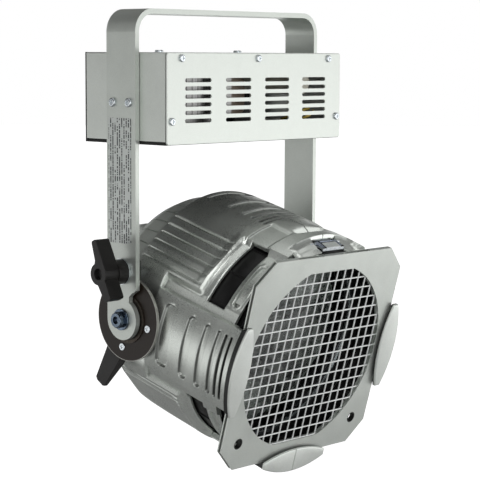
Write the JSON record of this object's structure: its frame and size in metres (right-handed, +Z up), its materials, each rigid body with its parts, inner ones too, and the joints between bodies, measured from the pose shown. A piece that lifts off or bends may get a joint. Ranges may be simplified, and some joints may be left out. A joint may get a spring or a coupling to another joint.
{
  "type": "par can stage light",
  "caption": "Stage par lamp in a cast barrel with a wire-guarded square colour frame, hung from a yoke that carries its vented ballast box.",
  "frame": {"origin": "centre of the hanging hole, on the top face of the yoke", "axes": "+Z up along the hanging hole, X along the tilt axis, -Y towards the front of the lamp"},
  "size_m": [0.2702, 0.2685, 0.4053],
  "materials": {
    "silver_paint": "satin silver-grey paint on steel",
    "cast_silver": "die-cast aluminium with fine-textured silver-grey paint",
    "black_sheet": "matt black painted steel",
    "zinc": "bright zinc-plated steel",
    "label": "printed silver foil label without lettering",
    "rubber_black": "black rubber",
    "core_steel": "varnished laminated steel",
    "coil": "taped copper winding",
    "black_plastic": "matt black moulded plastic",
    "ignitor_can": "dark moulded plastic",
    "capacitor_can": "light beige plastic can",
    "terminal": "off-white moulded plastic",
    "brass": "nickel-free brass",
    "wire_yellow": "yellow insulated wire",
    "wire_brown": "brown insulated wire",
    "brake_fibre": "dark brown friction board",
    "ring_black": "matt black heat-proof paint",
    "mirror": "bright faceted aluminium reflector",
    "lens_glass": "clear pressed glass with small facets",
    "ceramic": "white unglazed ceramic",
    "lamp_glass": "clear quartz",
    "arc": "translucent alumina",
    "mesh_wire": "bright galvanised wire",
    "spring_steel": "blued spring steel"
  },
  "bodies": {
    "yoke": {"yoke_bar": "silver_paint", "yoke_box_screws": "zinc", "rating_label": "label", "box_side_pads": "rubber_black", "ballast_chassis": "black_sheet", "ballast_cover": "silver_paint", "ballast_front_panel": "silver_paint", "front_panel_screws": "zinc", "cover_top_screws": "zinc", "ballast_core": "core_steel", "ballast_coil": "coil", "ignitor": "ignitor_can", "capacitor": "capacitor_can", "capacitor_clip": "black_plastic", "terminal_block": "terminal", "terminal_screws": "brass", "inner_wires_yellow": "wire_yellow", "inner_wires_brown": "wire_brown", "mains_gland": "black_plastic", "gland_lock_nut": "black_plastic", "pivot_bolts": "zinc", "pivot_washers": "zinc", "pivot_nuts": "zinc", "pivot_spacers": "black_plastic", "clamp_shoe": "black_sheet"},
    "tilt_clamp_handle": {"tilt_handle": "black_plastic", "tilt_handle_stud": "zinc", "tilt_handle_washer": "zinc"},
    "head": {"shell_left": "cast_silver", "shell_right": "cast_silver", "front_seat_ring": "ring_black", "rear_housing": "cast_silver", "rear_cap": "cast_silver", "rear_cap_screws": "zinc", "lamp_cable_gland": "black_plastic", "reflector": "mirror", "lamp_holder": "ceramic", "lamp_holder_legs": "zinc", "lamp_base": "ceramic", "lamp_glass": "lamp_glass", "arc_tube": "arc", "brake_disc_left": "brake_fibre", "brake_disc_right": "brake_fibre", "disc_screws": "zinc", "tilt_grip": "black_plastic", "latch_pin": "zinc", "latch_spring": "spring_steel"},
    "lens_assembly": {"lens_ring": "ring_black", "lens": "lens_glass", "lens_retaining_ring": "zinc"},
    "colour_frame_assembly": {"colour_frame": "silver_paint", "wire_mesh": "mesh_wire"},
    "top_latch": {"latch_plate": "zinc"}
  },
  "joints": [
    {"name": "head_tilt", "type": "hinge", "parent": "yoke", "child": "head", "pos_m": [0, 0, -0.267], "axis": [1, 0, 0], "range_deg": [-30, 75]},
    {"name": "tilt_handle_turn", "type": "hinge", "parent": "yoke", "child": "tilt_clamp_handle", "pos_m": [-0.14, -0.001, -0.225], "axis": [-1, 0, 0], "range_deg": [0, 120]},
    {"name": "lens_rotation", "type": "hinge", "parent": "head", "child": "lens_assembly", "pos_m": [0, -0.07705, -0.28851], "axis": [0, -0.9632, -0.2689], "continuous": true},
    {"name": "colour_frame_lift", "type": "slide", "parent": "head", "child": "colour_frame_assembly", "axis": [0, -0.2689, 0.9632], "range_m": [0, 0.1]},
    {"name": "latch_open", "type": "hinge", "parent": "head", "child": "top_latch", "pos_m": [0, -0.12947, -0.19932], "axis": [-1, 0, 0], "range_deg": [0, 75], "stiffness_Nm_per_rad": 0.02, "springref_deg": -17.19}
  ]
}
